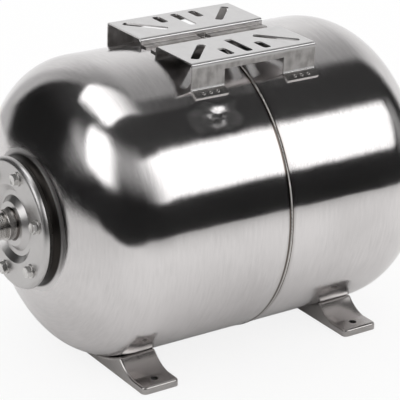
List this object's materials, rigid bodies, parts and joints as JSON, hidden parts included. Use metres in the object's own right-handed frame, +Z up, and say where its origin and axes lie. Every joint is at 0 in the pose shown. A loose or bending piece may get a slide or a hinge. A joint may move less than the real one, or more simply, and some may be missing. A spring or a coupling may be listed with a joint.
{
  "type": "well pressure tank",
  "caption": "Horizontal stainless pressure tank with a rubber bladder, bolted end cover with threaded nipple, slotted pump brackets on top and pressed feet.",
  "frame": {"origin": "on the floor, under the middle of the tank's box", "axes": "+X along the tank from the cover flange to the air valve, +Z up"},
  "size_m": [0.5966, 0.3724, 0.3843],
  "materials": {
    "shell_steel": "stainless, bright with a fine turned grain",
    "weld_steel": "rippled weld bead, cleaned",
    "flange_steel": "satin stainless",
    "nipple_steel": "turned stainless",
    "bladder_rubber": "moulded rubber",
    "bolt_steel": "cold-formed stainless",
    "seal_rubber": "flat rubber washer",
    "valve_brass": "turned brass",
    "cap_plastic": "black moulded plastic",
    "foot_steel": "pressed stainless, satin",
    "bracket_steel": "bent stainless sheet, fine straight grain"
  },
  "bodies": {
    "root": {"front_shell": "shell_steel", "rear_shell": "shell_steel", "girth_weld": "weld_steel", "neck_ring": "flange_steel", "neck_weld": "weld_steel", "cover_flange": "flange_steel", "connection_nipple": "nipple_steel", "nipple_weld": "weld_steel", "bladder": "bladder_rubber", "flange_bolts": "bolt_steel", "flange_washers": "bolt_steel", "weld_nuts": "bolt_steel", "valve_socket": "nipple_steel", "valve_socket_weld": "weld_steel", "valve_seal": "seal_rubber", "valve_body": "valve_brass", "valve_core": "valve_brass", "valve_cap": "cap_plastic", "front_foot": "foot_steel", "rear_foot": "foot_steel", "near_bracket": "bracket_steel", "far_bracket": "bracket_steel"}
  },
  "joints": []
}
